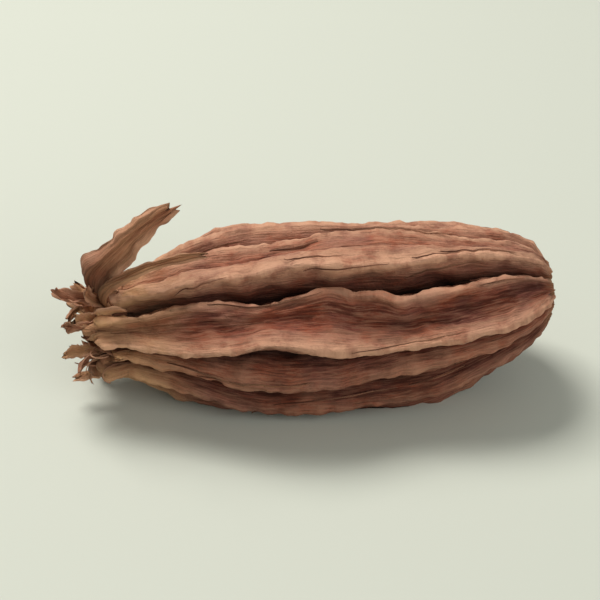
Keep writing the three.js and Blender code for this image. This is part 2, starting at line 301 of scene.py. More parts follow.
def mouth_point(step, column):
    """The cup and the neck: place and radius follow a profile from the cup's bottom over the rim."""
    steps = np.arange(len(MOUTH_PROFILE))
    share = np.interp(step, steps, MOUTH_PROFILE[:, 0])
    radius = np.interp(step, steps, MOUTH_PROFILE[:, 1])
    angle, _, relief, _, _ = section_at(column, 0 * column)
    ribbed = radius * (1 + MOUTH_RELIEF * relief / HUSK_RADIUS)
    return skin_point(0 * column, angle, ribbed, share * neck_length_at(column))


# %% Put the two together
COLUMNS_PER_RIB = 30
MOUTH_ROWS = 22
JOINING_ROWS = 4
BODY_ROWS = 196
NECK_POLAR = 0.1  # the polar angle, in radians, at which the body's rows begin

columns = np.arange(RIB_COUNT * COLUMNS_PER_RIB) / COLUMNS_PER_RIB
mouth_steps = np.linspace(0, len(MOUTH_PROFILE) - 1, MOUTH_ROWS)
polars = np.linspace(NECK_POLAR, np.pi, BODY_ROWS + 1)[:-1]
mouth = mouth_point(mouth_steps[:, None], columns[None, :])
body = body_point(polars[:, None], columns[None, :])
joining = np.linspace(0, 1, JOINING_ROWS + 2)[1:-1, None, None]
husk_grid = np.concatenate([mouth, mix(mouth[-1:], body[:1], joining), body])
print("husk grid, rows and columns:", husk_grid.shape[:2])

# %% [markdown]
# The fine skin
# Close up, a dried husk is never smooth. Stringy fibres run along it, the skin between them has
# shrunk into a net of small creases, and the thin crests are nicked and rubbed. This could be left
# to a bump texture, but relief of a tenth of a millimetre shows in the outline and in the shadows,
# so it is moved in the mesh. The noise is worked out on a drum wrapped round the pod, with one
# axis along the ribs, so it has no seam and can be stretched along the grain.

# %% Noise
NOISE_WEIGHTS = np.array([1.7, 57.3, 131.9])  # make one number of a lattice corner's three
NOISE_SEED_STEP, NOISE_AXIS_STEP = 17.17, 311.7
NOISE_GAIN = 1.6  # brings the blended heights to about -1 to 1


def smooth_noise(points, seed):
    """Gradient noise of about -1 to 1: every corner of a unit lattice has a slope of its own, and a
    point blends the heights that the eight slopes round it give there."""
    cell = np.floor(points)
    local = points - cell
    fade = local**3 * (local * (local * 6 - 15) + 10)
    height = np.zeros(points.shape[:-1])
    for corner in np.ndindex(2, 2, 2):
        key = (cell + corner) @ NOISE_WEIGHTS + NOISE_SEED_STEP * seed
        slope = 2 * np.stack([chance(key + NOISE_AXIS_STEP * axis) for axis in range(3)], axis=-1) - 1
        weight = np.prod(np.where(np.array(corner) == 1, fade, 1 - fade), axis=-1)
        height += weight * np.sum(slope * (local - corner), axis=-1)
    return NOISE_GAIN * height


def creases(points, seed, layers):
    """Sharp ridges between rounded hollows, about 0 to 1: one minus twice the size of the noise, and
    each layer twice as fine and half as strong as the one before."""
    parts = [(1 - 2 * np.abs(smooth_noise(points * 2**k, seed + k))) / 2**k for k in range(layers)]
    return sum(parts) / sum(0.5**k for k in range(layers))


# %% The noise's own coordinates
def step_lengths(grid, axis):
    """The lengths of the steps from each point of a grid to the one before it on an axis."""
    return np.linalg.norm(grid - np.roll(grid, 1, axis=axis), axis=-1)


def drum(grid, middle_rows):
    """Every point of the grid on the drum: x is the mean length of skin from the first row, and the
    skin's mean length round its middle rows is wrapped round the drum."""
    down = step_lengths(grid, 0).mean(axis=1)
    round_steps = step_lengths(grid[middle_rows], 1).mean(axis=0)
    radius = round_steps.sum() / TURN
    turned = np.cumsum(round_steps) / radius
    x = np.cumsum(np.where(np.arange(len(grid)) > 0, down, 0))[:, None]
    parts = np.broadcast_arrays(x, radius * np.sin(turned), radius * np.cos(turned))
    return np.stack(parts, axis=-1)


# %% The relief of the husk
# Each scale is in bends to a millimetre, along the grain and across it
WARP_SCALE, WARP_SIZE = 0.3, 0.9
STRINGS_WARP, THREADS_WARP = 0.5, 0.6  # how much of the warp bends them
STRINGS_SCALE, THREADS_SCALE, NET_SCALE = (0.11, 0.95, 0.95), (0.16, 2.3, 2.3), (0.30, 0.52, 0.52)
DENTS_SCALE = 0.22
NICKS_SCALE, FINE_NICKS_SCALE = (1.1, 0.5, 0.5), (2.3, 1, 1)
FINE_NICKS = 0.5  # their size as a share of the others'
STRINGS_HEIGHT, THREADS_HEIGHT, NET_HEIGHT, DENTS_HEIGHT, NICKS_HEIGHT = 0.16, 0.07, 0.3, 0.2, 0.15
NET_LEVEL = 0.3  # the height in the net that leaves the skin where it is
NET_LOST_ON_CREST = 0.6  # how much of the net is missing there


def husk_relief(grain, flank):
    """Millimetres to move the skin outwards: stringy ridges and threads stretched along the grain, a
    net of creases between the crests, shallow dents, and nicks along the crests themselves."""
    warp = WARP_SIZE * np.stack([smooth_noise(grain * WARP_SCALE, seed) for seed in (1, 2, 3)], axis=-1)
    strings = creases((grain + STRINGS_WARP * warp) * STRINGS_SCALE, 11, 2)
    threads = creases((grain + THREADS_WARP * warp) * THREADS_SCALE, 15, 1)
    net = creases((grain + warp) * NET_SCALE, 21, 3)
    dents = smooth_noise(grain * DENTS_SCALE, 31)
    nicks = smooth_noise(grain * NICKS_SCALE, 41) + FINE_NICKS * smooth_noise(grain * FINE_NICKS_SCALE, 42)
    on_crest = flank**3
    along_grain = STRINGS_HEIGHT * strings + THREADS_HEIGHT * threads
    between = NET_HEIGHT * (net - NET_LEVEL) * (1 - NET_LOST_ON_CREST * on_crest)
    return along_grain + between + DENTS_HEIGHT * dents + NICKS_HEIGHT * nicks * on_crest


# %% Move the skin along its normals
MIDDLE_ROWS = slice(80, 160)  # rows of the grid where the husk is at its thickest
CUP_STEPS = (2.9, 3.5)  # steps of the mouth's profile between which the hollow ends
CUP_RELIEF = 0.4  # how strong the relief is in the hollow
TIP_SHARE = 0.004  # the share of the length in which it fades out at the stem end's last point


def grid_normals(grid):
    """Outward normals: the cross product of the step to the next column and to the next row."""
    to_next_column = np.roll(grid, -1, axis=1) - np.roll(grid, 1, axis=1)
    to_next_row = np.gradient(grid, axis=0)
    normal = np.cross(to_next_column, to_next_row)
    return normal / np.maximum(np.linalg.norm(normal, axis=-1, keepdims=True), 1e-9)


husk_along = np.clip((husk_grid[..., 0] - HUSK_MIDDLE_X) / HUSK_LENGTH + 0.5, 0, 1)
husk_angle, _, rib_relief, husk_flank, husk_furrow = section_at(columns[None, :], husk_along)
husk_grain = drum(husk_grid, MIDDLE_ROWS)
fine = husk_relief(husk_grain, husk_flank)
husk_steps = np.concatenate([mouth_steps, np.full(len(husk_grid) - MOUTH_ROWS, mouth_steps[-1])])[:, None]
in_cup = 1 - smooth_step(husk_steps, *CUP_STEPS)
fine_size = mix(1, CUP_RELIEF, in_cup) * smooth_step(1 - husk_along, 0, TIP_SHARE)
husk_skin = husk_grid + grid_normals(husk_grid) * (fine * fine_size)[..., None]
husk_skin[..., 2] = np.maximum(husk_skin[..., 2], REST_DEPTH)
print("fine relief, mm:", fine.min().round(2), "to", fine.max().round(2))

# %% [markdown]
# From arrays to a mesh
# Every new piece is a stack of rings, so one function turns them all into meshes. It joins each
# ring to the next with four-sided faces and closes both ends with a fan round a middle point, which
# leaves a closed skin with its faces pointing outwards.

# %% Rings to a mesh
def loft(name, bodies, **layers):
    """A mesh of closed bodies from an array (bodies, rings, points of a ring, 3) in millimetres, with
    the rings anticlockwise about the way they go. Each layer is one number or vector for a point."""
    count, rings, size, _ = bodies.shape
    ids = np.arange(count * rings * size).reshape(count, rings, size)
    following = np.roll(ids, -1, axis=2)
    sides = np.stack([ids[:, :-1], following[:, :-1], following[:, 1:], ids[:, 1:]], axis=-1)
    middles = count * rings * size + np.arange(2 * count).reshape(2, count, 1) + np.zeros((1, 1, size), int)
    start = np.stack([middles[0], following[:, 0], ids[:, 0]], axis=-1)
    end = np.stack([middles[1], ids[:, -1], following[:, -1]], axis=-1)
    faces = sides.reshape(-1, 4).tolist() + start.reshape(-1, 3).tolist() + end.reshape(-1, 3).tolist()
    vertices = with_middles(bodies)
    vertices[:, 2] -= REST_DEPTH
    mesh = bpy.data.meshes.new(name)
    mesh.from_pydata(vertices * MM, [], faces)
    mesh.polygons.foreach_set("use_smooth", np.ones(len(mesh.polygons), bool))
    for layer_name, values in layers.items():
        put_layer(mesh, layer_name, np.asarray(values, float), bodies.ndim - 1)
    piece = bpy.data.objects.new(name, mesh)
    bpy.context.collection.objects.link(piece)
    print(name, "triangles:", sum(len(face.vertices) - 2 for face in mesh.polygons))
    return piece


def with_middles(values):
    """A row for each point of the rings, and then one for each body's first and last middle point,
    which has its ring's mean."""
    middles = values[:, [0, -1]].mean(axis=2).swapaxes(0, 1)
    width = values.shape[-1]
    return np.concatenate([values.reshape(-1, width), middles.reshape(-1, width)])


def put_layer(mesh, name, values, number_axes):
    """Stores a number or a vector for each point and each middle point."""
    is_vector = values.ndim > number_axes
    rows = with_middles(values if is_vector else values[..., None])
    kind, field = ("FLOAT_VECTOR", "vector") if is_vector else ("FLOAT", "value")
    mesh.attributes.new(name, kind, "POINT").data.foreach_set(field, rows.ravel())


# %% [markdown]
# Colour that follows the shape
# Handling rubs the crests pale, the broad folds get painted light, and the furrows get painted shade.
# The skin turns straw-coloured towards the calyx, more on its crests than in its furrows, which paints
# light and shade there too. The side that the pod lies on gets painted shade: it is darker and its
# crests are less pale. A texture laid over the pod wouldn't know where its crests are, so the shape's
# own numbers are stored in the mesh as attributes, and the materials read them.

# %% The husk, with its masks
RIBS_FADE = (1.2, 3.2)  # millimetres from the axis, at the stem end, between which ribs and scar meet
CALYX_LENGTH = 0.2  # the share of the length that is straw-coloured at the calyx end
STRAW_IN_FURROWS, STRAW_ON_CRESTS = 0.5, 1.3  # shares of that colour in furrows and on crests: painted shade in the furrows, painted light on the crests
STEM_STRAW_FADE, SCAR_SHADE_FADE = (1.0, 3.0), (0.4, 1.3)  # millimetres from the axis, for the straw and for the painted shade in the scar's hollow
FOLD_RELIEF = (0.2, 1.7)  # millimetres of relief between which a broad fold gets painted light
CREST_PALE, FOLD_PAINTED_LIGHT = 0.55, 0.45  # how pale a crest's own line is from wear, and how much painted light the fold that carries it gets
FURROW_SHADE, FURROW_SHADE_PER_MM = 0.35, 0.5  # painted shade in the furrows: a deep furrow is darker than a crease
UPPER_SIDE = (-0.6, 0.35)  # cosines of the angle from the top, from the underside to the upper side
UNDERSIDE_SHADED_CRESTS = 0.4  # how pale its crests are where it lies, as a share of the upper side's: painted shade on the underside
# painted shade laid over the underside
UNDERSIDE_PAINTED_SHADE = 0.3
RIDGE_CONTRAST = 1.8  # how fast the fine relief's mask goes from hollow to ridge, for a millimetre

from_axis = np.linalg.norm((husk_grid - axis_at(husk_along))[..., 1:], axis=-1)
at_stem = np.where(husk_along > 0.5, 1.0, 0.0)
ribbed = 1 - at_stem * (1 - smooth_step(from_axis, *RIBS_FADE))
broad_fold = smooth_step(rib_relief, *FOLD_RELIEF)
upper_side = smooth_step(np.cos(husk_angle * DEGREE), *UPPER_SIDE)
# less crest paleness on the underside, which is painted shade there
lit_crest_share = mix(UNDERSIDE_SHADED_CRESTS, 1, upper_side) * ribbed
# pale crest lines from wear plus painted light on the broad folds, both less on the shaded underside
crest_wear_and_light = (CREST_PALE * husk_flank**3 + FOLD_PAINTED_LIGHT * broad_fold) * relief_share(husk_angle) * lit_crest_share
# painted shade in the furrows, stronger where a furrow is deep
furrow_shade = (1 - husk_flank) ** 2 * (FURROW_SHADE + FURROW_SHADE_PER_MM * husk_furrow) * ribbed
# painted shade in the furrows and over the underside
painted_shade_mask = furrow_shade + UNDERSIDE_PAINTED_SHADE * (1 - upper_side)
# straw colour, more on crests than in furrows, which paints light on the crests and shade in the furrows
straw_with_painted_light = mix(STRAW_IN_FURROWS, STRAW_ON_CRESTS, husk_flank**2)
near_calyx = (1 - smooth_step(husk_along, 0.0, CALYX_LENGTH)) * straw_with_painted_light
calyx_mask = near_calyx + at_stem * (1 - smooth_step(from_axis, *STEM_STRAW_FADE))
scar_shade = at_stem * (1 - smooth_step(from_axis, *SCAR_SHADE_FADE))
husk = loft(
    "husk",
    husk_skin[None],
    grain=husk_grain[None],
    crest=crest_wear_and_light[None],
    furrow=np.clip(painted_shade_mask, 0, 1)[None],
    # the fine relief as a mask: its ridges get painted light and its hollows painted shade
    raised=np.clip(0.5 + RIDGE_CONTRAST * (fine - fine.mean()), 0, 1)[None],
    calyx=calyx_mask[None],
    # painted shade in the calyx's hollow and in the stalk scar's hollow
    cup=np.maximum(in_cup, scar_shade)[None],
)

# %% [markdown]
# The frayed calyx
# The flower's dry sleeve stays on the fruit and breaks up into ragged tongues, shreds and single
# fibres. A tongue is a thin strip that leaves the neck, leans outwards, curls and twists. Cloth
# simulation could curl it, but a formula says just how far each tongue leans: the strip's heading
# turns by its flare and curl as it grows, and adding up the small steps gives its path.

# %% Paths of strips
STRIP_ROOT = 1.7  # how far inside the neck's rim a strip begins
STRIP_ROOT_RADIUS = 2.45


def draw_strips(limits, number, first_seed, seed_step):
    """Draws each measure in a table of limits for every strip, with seeds of its own."""
    return {
        measure: drawn(least_most, number + first_seed + seed_step * k)
        for k, (measure, least_most) in enumerate(limits.items())
    }


def strip_frames(strips, steps):
    """Path, across and through directions of strips that grow from inside the neck's wall, and the
    share of the length at each step. The heading is turned outwards by flare and curl. The solid
    model's strips have few steps and lag by half of one, so it is read half a solid step earlier."""
    share = np.linspace(0, 1, steps)[None, :]
    lagged = np.maximum(0, share - 0.5 / np.asarray(strips["solid_steps"])[..., None])
    turned = np.minimum(1, lagged / np.asarray(strips["turned_by"])[..., None])
    lift = (strips["flare"][:, None] * turned + strips["curl"][:, None] * lagged**2) * DEGREE
    facing = strips["around"][:, None] * DEGREE
    zero = np.zeros_like(facing)
    outwards = np.stack([zero, -np.sin(facing), np.cos(facing)], axis=-1)
    sideways = np.stack([zero, -np.cos(facing), -np.sin(facing)], axis=-1)
    way = outwards * np.sin(lift)[..., None]
    way[..., 0] = -np.cos(lift)
    spin = (strips["twist"][:, None] * turned * DEGREE)[..., None]
    through = np.cross(way, sideways)
    across = sideways * np.cos(spin) + through * np.sin(spin)
    through = np.cross(way, across)
    root = axis_at(zero) + outwards * np.asarray(strips.get("radius", STRIP_ROOT_RADIUS))[..., None, None]
    root[..., 0] -= NECK_LENGTH - STRIP_ROOT
    stride = ((strips["length"] + STRIP_ROOT) / (steps - 1))[:, None, None]
    path = root + np.cumsum(way * stride, axis=1) - way[:, :1] * stride
    return (path, across, through), share


# %% Strips of skin along a path
FRAY_BENDS, FINE_FRAY = 7.0, 2.7  # bends of a frayed edge from root to end, and how much finer again
FINE_FRAY_SHARE = 0.6  # the size of the finer ones as a share of the others'
NEAR_EDGE, FAR_EDGE = 1.5, 9.5  # places of the two edges in the noise
CRUMPLE_BENDS, CRUMPLE_ACROSS, TORN_ACROSS = 5, 1.3, 3.1  # bends, the last two for half the width
FRAY_NEXT, CRUMPLE_NEXT, TORN_NEXT = 3.7, 2.9, 1.7  # how far on the next strip is in each noise
VEIN_WAVES = 4.5 * np.pi  # radians of the cosine from the middle of a strip to its edge
FRAY_FROM, CRUMPLE_FROM, TORN_FROM = (0.1, 0.5), (0.1, 0.4), (0.6, 1)  # shares of the length


def together(*coordinates):
    """Points from their coordinates, each of which may be the same all along an axis."""
    return np.stack(np.broadcast_arrays(*coordinates), axis=-1)


def strip(frames, half_width, half_thickness, sides, seed, cup=0, fray=0, crumple=0, veins=0, torn=0):
    """Rings round a path: an ellipse across the strip, bent into a gutter by the square of the place
    across it. Noise frays each edge, crumples the skin and moves parts of the end back and forth, so
    that it looks torn. A cosine across the strip raises veins. Cup, fray and crumple are shares of
    half the width, and veins and torn are millimetres."""
    path, across, through = frames
    turned = np.arange(sides) * TURN / sides
    side, up = np.cos(turned), np.sin(turned)
    number = np.arange(len(path))[:, None]
    place = np.linspace(0, 1, path.shape[1])[None, :]

    def frayed(edge):
        where = together(place * FRAY_BENDS, number * FRAY_NEXT + 0.5, edge)
        finer = smooth_noise(where * (FINE_FRAY, 1, 1), seed + 1)
        bites = smooth_noise(where, seed) + FINE_FRAY_SHARE * finer
        return (1 + fray * smooth_step(place, *FRAY_FROM) * bites)[..., None]

    width = np.where(side > 0, frayed(NEAR_EDGE), frayed(FAR_EDGE)) * side * half_width[..., None]
    which, along = number[..., None], place[..., None]
    sheet = together(along * CRUMPLE_BENDS, side * CRUMPLE_ACROSS, which * CRUMPLE_NEXT)
    bent = cup * side**2 + crumple * smooth_step(along, *CRUMPLE_FROM) * smooth_noise(sheet, seed + 2)
    raised = up * half_thickness[..., None] + veins * np.cos(VEIN_WAVES * side) * (1 - side**2)
    rise = raised + bent * half_width[..., None]
    teeth = together(0.5, side * TORN_ACROSS, which * TORN_NEXT)
    onwards = torn * smooth_step(along, *TORN_FROM) * smooth_noise(teeth, seed + 3)
    heading = np.cross(across, through)
    moved = across[:, :, None] * width[..., None] + through[:, :, None] * rise[..., None]
    return path[:, :, None] + moved - heading[:, :, None] * onwards[..., None]


# %% Grain and masks for strips
STRAW_SHARE = (0.25, 1.0)  # how much of the straw colour a strip has
PAPER_GRAIN = (6, 1.2)  # the strip's length and half its width, in millimetres of grain
GRAIN_SHIFTS = (2.3, 5.1)  # move the grain of each strip aside, so that no two are alike
WORN_FROM, SHADED_TO = (0.1, 0.5), (0.15, 0.7)  # shares of the length
ROOT_SHADE = 0.8


def paper_layers(rings, share, seed, straw=1.0):
    """Grain and masks for strips: the grain runs along them, their edges are worn, and their roots inside
    the neck get painted shade.
    """
    count, steps, sides, _ = rings.shape
    side = np.cos(np.arange(sides) * TURN / sides)[None, None, :]
    edge = np.abs(side)
    along = share[..., None]
    which = np.arange(count)[:, None, None]
    length, half_width = PAPER_GRAIN
    next_across, next_deep = GRAIN_SHIFTS
    grain = together(length * along, half_width * side + next_across * which, next_deep * which + seed)
    worn = edge**2 * smooth_step(along, *WORN_FROM)
    shaded = ROOT_SHADE * (1 - smooth_step(along, *SHADED_TO)) * (1 - 0.5 * edge**3)
    masks = {
        "crest": worn,
        "furrow": shaded,
        "raised": 0.5,
        "calyx": straw * drawn(STRAW_SHARE, which + seed),
        "cup": 0.0,
    }
    return {"grain": grain} | {name: np.broadcast_to(mask, rings.shape[:3]) for name, mask in masks.items()}


# %% The torn tongues, where the solid model has them
TONGUE_COUNT = 14
# Least and most, in millimetres and degrees
TONGUE_LIMITS = {
    "length": (1.2, 3.8),
    "width": (0.9, 2.1),
    "flare": (-30, 50),
    "curl": (-130, 140),
    "twist": (-70, 70),
}
TONGUE_UNEVENNESS = 0.5  # how far a tongue may be from its even place, as a share of their spacing
TONGUE_TURNED_BY = 0.55  # the share of its length at which it has turned by its flare and twist
TONGUE_STEPS = 8  # of the solid model's tongues
TONGUE_TAPER, TAPER_POWER = 0.4, 1.3  # the width left at the end, and how late it narrows
PAPER = 0.09  # half the thickness of the dry skin
TONGUE_THICKNESS = (1.6, 0.6)  # times the dry skin's, at the root and at the end
TONGUE_RINGS, TONGUE_SIDES, TONGUE_SEED = 30, 28, 60
TONGUE_SHAPE = {"cup": 0.4, "fray": 0.7, "crumple": 0.7, "veins": 0.04, "torn": 1.1}

number = np.arange(TONGUE_COUNT)
tongues = draw_strips(TONGUE_LIMITS, number, first_seed=20, seed_step=20)
tongues["around"] = 360 * (number + TONGUE_UNEVENNESS * (chance(number) - 0.5)) / TONGUE_COUNT
tongues["turned_by"] = TONGUE_TURNED_BY
tongues["solid_steps"] = TONGUE_STEPS
frames, share = strip_frames(tongues, TONGUE_RINGS)
half_width = tongues["width"][:, None] / 2 * mix(1, TONGUE_TAPER, share**TAPER_POWER)
half_thickness = PAPER * mix(*TONGUE_THICKNESS, share)
tongue_rings = strip(frames, half_width, half_thickness, TONGUE_SIDES, TONGUE_SEED, **TONGUE_SHAPE)
calyx_tongues = loft("calyx_tongues", tongue_rings, **paper_layers(tongue_rings, share, 0))

# %% The flap that stands up, and a thin strip along the shoulder
# The first of each pair is the flap, which the solid model has too. The second is the thin strip,
# which lies almost on the husk and is too thin to be solid. Both are in one mesh.
FLAPS = {
    "around": (4, 16),
    "length": (9.5, 8.6),
    "width": (3.2, 1.1),
    "flare": (128, 140),
    "curl": (20, 40),
    "twist": (62, 25),
    "turned_by": (0.36, 0.3),
    "solid_steps": (13, 13),
}
FLAP_STRAW = np.array([0.45, 1.0])[:, None, None]  # how much of the straw colour each has
FLAP_THICKNESS = (2.2, 0.7)  # times the dry skin's, at the root and at the end
FLAP_END = 0.9  # the share of the length after which the end narrows once more
FLAP_END_NARROWER = 0.2
FLAP_RINGS, FLAP_SIDES, FLAP_SEED = 90, 72, 70
FLAP_SHAPE = {"cup": 0.2, "fray": 0.4, "crumple": 0.55, "veins": 0.09, "torn": 1.6}

flaps = {measure: np.array(values, float) for measure, values in FLAPS.items()}
frames, share = strip_frames(flaps, FLAP_RINGS)
narrowing = 1 - FLAP_END_NARROWER * smooth_step(share, FLAP_END, 1)
half_width = flaps["width"][:, None] / 2 * (mix(1, TONGUE_TAPER, share**TAPER_POWER) * narrowing)
half_thickness = PAPER * mix(*FLAP_THICKNESS, share)
flap_rings = strip(frames, half_width, half_thickness, FLAP_SIDES, FLAP_SEED, **FLAP_SHAPE)
calyx_flap = loft("calyx_flap", flap_rings, **paper_layers(flap_rings, share, 30, straw=FLAP_STRAW))
print("flap box, mm:", flap_rings.min(axis=(0, 1, 2)).round(2), flap_rings.max(axis=(0, 1, 2)).round(2))

# %% [markdown]
# Shreds and loose fibres
# Between the tongues hang narrow shreds, and where the calyx has rotted away only its stringy fibres
# are left. A few more peel off the crests. All are too thin to be solids, so they are only here. Hair
# curves would be the usual tool for the fibres, but they can't be kept as a mesh, so each fibre is a
# slim tube, a strip about as thick as it is wide.

# %% Shreds and fibres of the calyx
SHRED_COUNT, SHRED_SEED, SHRED_SIDES, SHRED_RINGS = 38, 1000, 18, 30
FIBRE_COUNT, FIBRE_SEED, FIBRE_SIDES, FIBRE_RINGS = 26, 2000, 6, 26
SHRED_LIMITS = {
    "length": (0.8, 3.0),
    "flare": (-60, 50),
    "curl": (-300, 260),
    "twist": (-120, 120),
    "radius": (1.4, 3.0),
    "width": (0.6, 1.6),
    "thickness": (0.07, 0.12),
}
FIBRE_LIMITS = {
    "length": (0.8, 3.4),
    "flare": (-40, 60),
    "curl": (-260, 260),
    "twist": (-60, 60),
    "radius": (1.9, 3.0),
    "width": (0.1, 0.24),
    "thickness": (0.08, 0.14),
}
SHRED_SHAPE = {"cup": 0.45, "fray": 0.5, "crumple": 0.7, "torn": 0.7}
TUFT_TAPER = (1.1, 0.6)  # times the drawn size, at the root and at the end
TUFT_TURNED_BY, TUFT_STEPS = 0.6, 20
TUFT_CLEARANCE = 0.1  # least height over the floor


def tuft(count, seed, limits, sides, rings, **shape):
    """Strips from random places round the rim. Those that would go through the floor are left out."""
    number = np.arange(count) + seed
    strips = draw_strips(limits, number, first_seed=300, seed_step=100)
    strips["around"] = 360 * chance(number + 200)
    strips["turned_by"] = TUFT_TURNED_BY
    strips["solid_steps"] = TUFT_STEPS
    frames, share = strip_frames(strips, rings)
    half_width, half_thickness = (
        strips[measure][:, None] / 2 * mix(*TUFT_TAPER, share) for measure in ("width", "thickness")
    )
    grown = strip(frames, half_width, half_thickness, sides, seed, **shape)
    is_clear = grown[..., 2].min(axis=(1, 2)) > REST_DEPTH + TUFT_CLEARANCE
    return grown[is_clear], share


shred_rings, share = tuft(
    SHRED_COUNT, SHRED_SEED, SHRED_LIMITS, SHRED_SIDES, SHRED_RINGS, **SHRED_SHAPE,
)
calyx_shreds = loft("calyx_shreds", shred_rings, **paper_layers(shred_rings, share, 120))
fibre_rings, share = tuft(FIBRE_COUNT, FIBRE_SEED, FIBRE_LIMITS, FIBRE_SIDES, FIBRE_RINGS)
calyx_fibres = loft("calyx_fibres", fibre_rings, **paper_layers(fibre_rings, share, 60))

# %% Fibres that peel off the ribs
PEEL_COUNT, PEEL_SEED, PEEL_SIDES, PEEL_RINGS = 60, 90, 6, 30
PEEL_BESIDE = (-0.22, 0.22)  # ribs from a crest to the fibre's start
PEEL_DRIFT = (-0.1, 0.1)  # ribs that it drifts to the side
PEEL_ROWS, PEEL_LENGTHS = (40, 170), (14, 40)  # rows of the grid
PEEL_LEAST_LIFT = 0.02
PEEL_LIFTS = (0.0, 0.9)  # more lift where its ends are loose
PEEL_STUCK = (0.3, 0.8)  # the part of its length that sticks to the skin
PEEL_THICKNESS = (0.04, 0.09)  # half of it, least and most
PEEL_TAPER = (0.12, 0.9)  # the part of a sine's half wave that its thickness follows
PEEL_CLEARANCE = 0.3  # least height over the floor
PEEL_STRAW = 0.4  # how much of the straw colour they have


def on_skin(grid, row, column):
    """Points between the points of a grid: the four nearest ones, weighed by how near they are."""
    low_row, low_column = np.floor(row).astype(int), np.floor(column).astype(int)
    down, aside = (row - low_row)[..., None], (column - low_column)[..., None]
    size = grid.shape[1]
    near = mix(grid[low_row, low_column % size], grid[low_row, (low_column + 1) % size], aside)
    far = mix(grid[low_row + 1, low_column % size], grid[low_row + 1, (low_column + 1) % size], aside)
    return mix(near, far, down)


number = np.arange(PEEL_COUNT)[:, None]
share = np.linspace(0, 1, PEEL_RINGS)[None, :]
rib = np.floor(RIB_COUNT * chance(number + 900)) + drawn(PEEL_BESIDE, number + 950)
column = COLUMNS_PER_RIB * (rib + drawn(PEEL_DRIFT, number + 970) * share)
row = drawn(PEEL_ROWS, number + 1000) + drawn(PEEL_LENGTHS, number + 1050) * share
outwards = on_skin(grid_normals(husk_skin), row, column)
stuck_from, stuck_to = PEEL_STUCK
loose = 2 * np.maximum(0, np.maximum(stuck_from - share, share - stuck_to))
lift = PEEL_LEAST_LIFT + drawn(PEEL_LIFTS, number + 1100) * loose**2
path = on_skin(husk_skin, row, column) + outwards * lift[..., None]
heading = np.gradient(path, axis=1)
heading /= np.linalg.norm(heading, axis=-1, keepdims=True)
across = np.cross(outwards, heading)
across /= np.linalg.norm(across, axis=-1, keepdims=True)
frames = (path, across, np.cross(heading, across))
is_clear = path[..., 2].min(axis=1) > REST_DEPTH + PEEL_CLEARANCE
thickness = drawn(PEEL_THICKNESS, number + 1200) * np.sin(np.pi * mix(*PEEL_TAPER, share))
peel_rings = strip(frames, thickness, thickness, PEEL_SIDES, PEEL_SEED)[is_clear]
husk_fibres = loft("husk_fibres", peel_rings, **paper_layers(peel_rings, share, 90, straw=PEEL_STRAW))

# %% [markdown]
# Dry skin as a material
# The skin is matt and stringy. Its grain is noise stretched along the ribs, which needs to follow
# the surface, so it reads the grain attribute in place of a texture's own coordinates. Husk and calyx
# both show it, so it is a node group, built once and used with different values.

# %% Helpers for node trees
def add(tree, kind, inputs=None, **settings):
    """A new node with its settings. An input is linked if it is given a socket, or else set."""
    made = tree.nodes.new(kind)
    for name, value in settings.items():
        setattr(made, name, value)
    for name, value in (inputs or {}).items():
        if isinstance(value, bpy.types.NodeSocket):
            tree.links.new(value, made.inputs[name])
        else:
            made.inputs[name].default_value = value
    return made


def blend(tree, share, first, second):
    """The colour that lies a share of the way from the first to the second."""
    made = add(tree, "ShaderNodeMix", data_type="RGBA")
    for socket, value in zip((made.inputs[0], made.inputs[6], made.inputs[7]), (share, first, second)):
        if isinstance(value, bpy.types.NodeSocket):
            tree.links.new(value, socket)
        else:
            socket.default_value = value
    return made.outputs[2]


def spread(tree, value, low, high, to_low=0.0, to_high=1.0):
    """A value stretched so that low and high become new limits, and cut off there."""
    sockets = {"Value": value, "From Min": low, "From Max": high, "To Min": to_low, "To Max": to_high}
    return add(tree, "ShaderNodeMapRange", sockets, interpolation_type="SMOOTHSTEP").outputs[0]


def times(tree, first, second):
    """Two values multiplied."""
    return add(tree, "ShaderNodeMath", {0: first, 1: second}, operation="MULTIPLY").outputs[0]


def plus(tree, first, second):
    """Two values added."""
    return add(tree, "ShaderNodeMath", {0: first, 1: second}, operation="ADD").outputs[0]


def layer(tree, name, socket="Fac"):
    """One of the attributes stored in the mesh."""
    return add(tree, "ShaderNodeAttribute", attribute_name=name).outputs[socket]


def noise(tree, vector, scale, detail=4.0, roughness=0.6):
    """Cloudy noise at a scale, from about 0 to 1."""
    sockets = {"Vector": vector, "Scale": scale, "Detail": detail, "Roughness": roughness}
    return add(tree, "ShaderNodeTexNoise", sockets).outputs["Fac"]


def new_group(name, inputs, outputs):
    """An empty node group with its sockets."""
    group = bpy.data.node_groups.new(name, "ShaderNodeTree")
    for socket, kind in inputs.items():
        group.interface.new_socket(socket, in_out="INPUT", socket_type=kind)
    for socket, kind in outputs.items():
        group.interface.new_socket(socket, in_out="OUTPUT", socket_type=kind)
    return group, group.nodes.new("NodeGroupInput").outputs, group.nodes.new("NodeGroupOutput").inputs


def colour(red, green, blue):
    """A colour given as screen values from 0 to 255, as the light values that shaders use."""
    screen = np.array([red, green, blue]) / 255
    light = np.where(screen <= 0.04045, screen / 12.92, ((screen + 0.055) / 1.055) ** 2.4)
    return (*light.tolist(), 1.0)


# %% The grain group
NUMBER, VECTOR = "NodeSocketFloat", "NodeSocketVector"
GRAIN_STRETCH = (0.22, 2.6, 2.6)  # slow along the ribs, quick across them
# Scale, detail and roughness of each noise
FIBRE_NOISE, STREAK_NOISE = (1.0, 5.0, 0.65), (3.4, 3.0, 0.6)
PORE_NOISE, PATCH_NOISE = (6.0, 3.0, 0.7), (0.33, 3.0, 0.6)
FIBRE_RANGE, STREAK_RANGE, PATCH_RANGE = (0.32, 0.68), (0.3, 0.7), (0.38, 0.64)
FIBRE_HEIGHT, STREAK_HEIGHT, PORE_HEIGHT = 0.9, 0.6, 0.4

